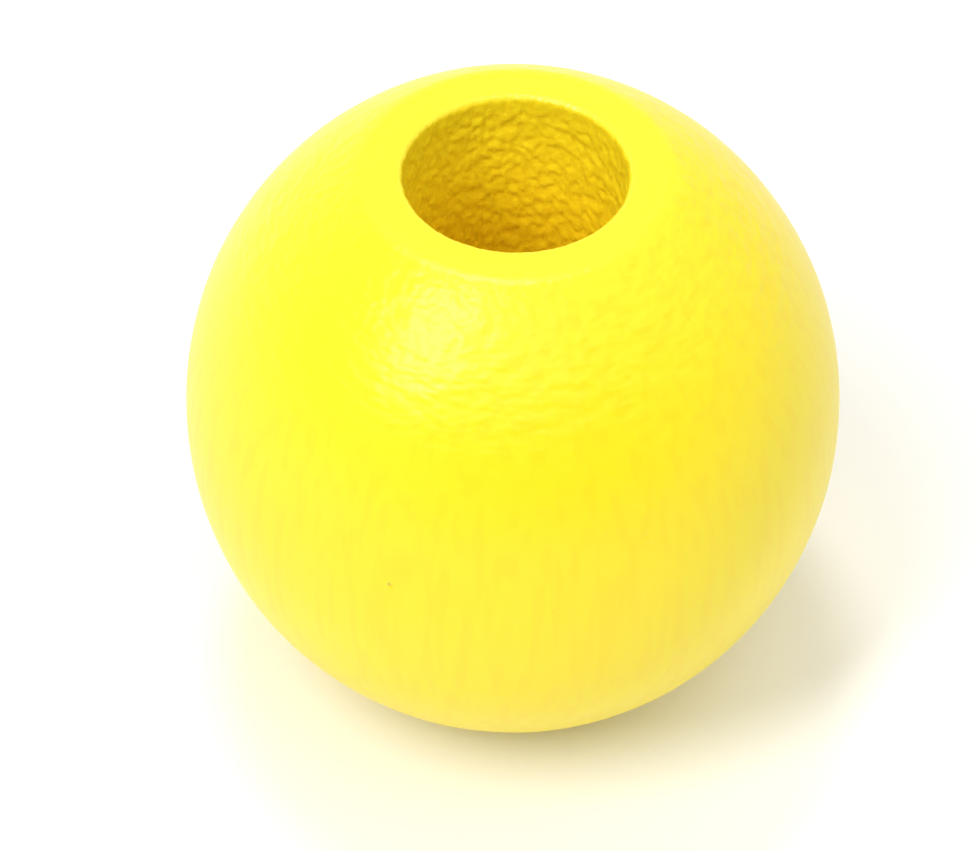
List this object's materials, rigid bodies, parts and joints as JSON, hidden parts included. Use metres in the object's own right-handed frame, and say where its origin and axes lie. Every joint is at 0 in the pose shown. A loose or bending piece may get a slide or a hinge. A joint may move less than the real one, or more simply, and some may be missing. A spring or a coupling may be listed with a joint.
{
  "type": "wooden bead",
  "caption": "Large round turned wooden bead, painted yellow, with a wide straight cord hole and two flat ends it can stand on.",
  "frame": {"origin": "middle of the bead, on the axis of the cord hole", "axes": "+Z along the cord hole, up as the bead stands on a flat end; X and Y are alike, since the bead is round"},
  "size_m": [0.03, 0.03, 0.0282],
  "materials": {
    "painted_wood": "satin yellow paint"
  },
  "bodies": {
    "root": {"bead": "painted_wood"}
  },
  "joints": []
}
